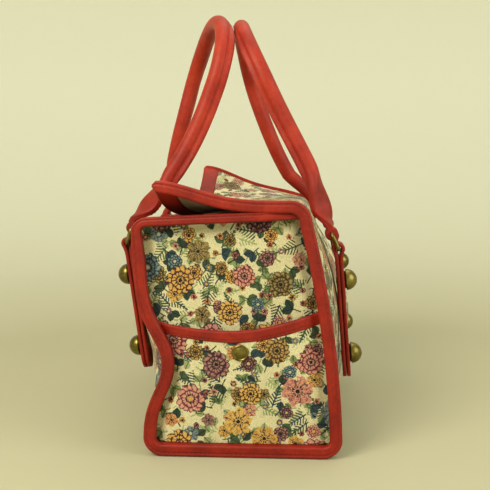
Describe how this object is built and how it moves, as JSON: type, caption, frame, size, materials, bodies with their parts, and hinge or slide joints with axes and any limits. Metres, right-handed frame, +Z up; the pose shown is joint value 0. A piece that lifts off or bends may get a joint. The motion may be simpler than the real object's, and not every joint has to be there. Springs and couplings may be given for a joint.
{
  "type": "handbag",
  "caption": "Structured floral tapestry handbag with a fold-over top flap, bound end panels with snap pockets, and rolled leather handles swinging on wire rings.",
  "frame": {"origin": "centre of the base's underside, on the table", "axes": "+Z up; +X along the bag to the end shown in the picture; -Y to the front, where the flap's free edge is; +Y to the back, where the flap is folded"},
  "size_m": [0.2688, 0.1865, 0.3275],
  "materials": {
    "tapestry": "woven floral jacquard, matt",
    "leather": "red leather, satin, fine grain",
    "lining": "taupe plain weave",
    "board": "grey-brown fibreboard stiffener, hidden",
    "brass": "antique brass, darkened"
  },
  "bodies": {
    "bag": {"front_panel": "tapestry", "back_panel": "tapestry", "base_panel": "tapestry", "base_board": "board", "lining": "lining", "flap_lining": "lining", "flap_band": "leather", "rim_binding": "leather", "end_panel_right": "tapestry", "end_panel_left": "tapestry", "end_pocket_right": "tapestry", "end_pocket_left": "tapestry", "pocket_binding_right": "leather", "pocket_binding_left": "leather", "snap_cap_right": "brass", "snap_cap_left": "brass", "snap_socket_right": "brass", "snap_socket_left": "brass", "seam_binding_right": "leather", "seam_binding_left": "leather", "strap_front_right": "leather", "strap_front_left": "leather", "strap_back_right": "leather", "strap_back_left": "leather", "ball_studs": "brass", "stud_washers": "brass"},
    "front_rings": {"ring_front_right": "brass", "ring_front_left": "brass"},
    "front_handle": {"handle_front": "leather"},
    "back_rings": {"ring_back_right": "brass", "ring_back_left": "brass"},
    "back_handle": {"handle_back": "leather"}
  },
  "joints": [
    {"name": "front_ring_swing", "type": "hinge", "parent": "bag", "child": "front_rings", "pos_m": [0, -0.09122, 0.144], "axis": [1, 0, 0], "range_deg": [0, 115]},
    {"name": "front_handle_swing", "type": "hinge", "parent": "front_rings", "child": "front_handle", "pos_m": [0, -0.08698, 0.15565], "axis": [1, 0, 0], "range_deg": [0, 40]},
    {"name": "back_ring_swing", "type": "hinge", "parent": "bag", "child": "back_rings", "pos_m": [0, 0.06811, 0.139], "axis": [-1, 0, 0], "range_deg": [0, 115]},
    {"name": "back_handle_swing", "type": "hinge", "parent": "back_rings", "child": "back_handle", "pos_m": [0, 0.06306, 0.15033], "axis": [-1, 0, 0], "range_deg": [0, 38]}
  ]
}
